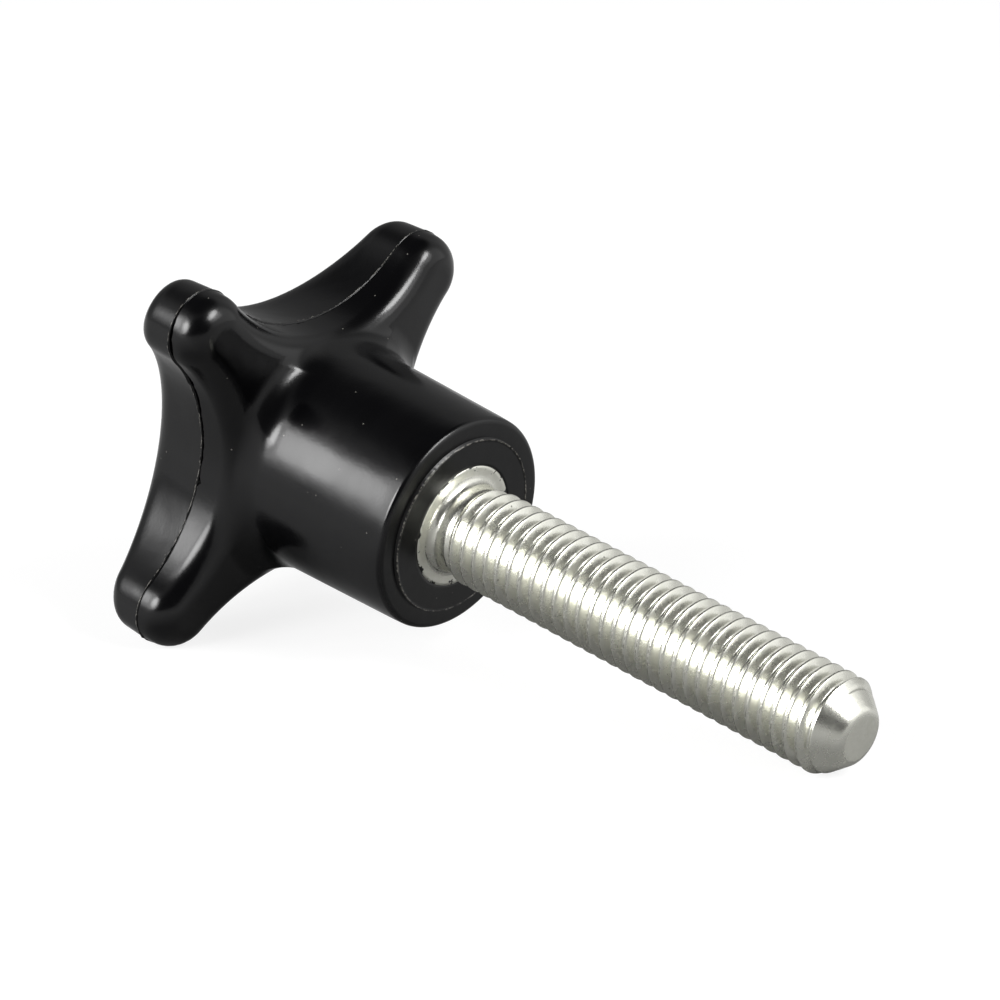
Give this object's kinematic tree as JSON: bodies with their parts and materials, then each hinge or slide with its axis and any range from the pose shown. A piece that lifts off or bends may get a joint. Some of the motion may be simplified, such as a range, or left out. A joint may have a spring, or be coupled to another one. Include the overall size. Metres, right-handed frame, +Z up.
{
  "type": "cross knob",
  "caption": "Moulded cross grip on a threaded steel stud, turned by hand to clamp or adjust a fixture.",
  "frame": {"origin": "on the bench under the middle of the part's length, where it lies at rest", "axes": "+Z up, +X along the stud's run towards its point, which dips to the bench"},
  "size_m": [0.0821, 0.038, 0.0379],
  "materials": {
    "moulded_phenolic": "black phenolic, glossy as it left the mould, with a thin parting line and fine dust",
    "zinc_plated_steel": "rolled and zinc plated, bright, with a faint warm grey cast"
  },
  "bodies": {
    "root": {"knob_body": "moulded_phenolic", "threaded_stud": "zinc_plated_steel"}
  },
  "joints": []
}
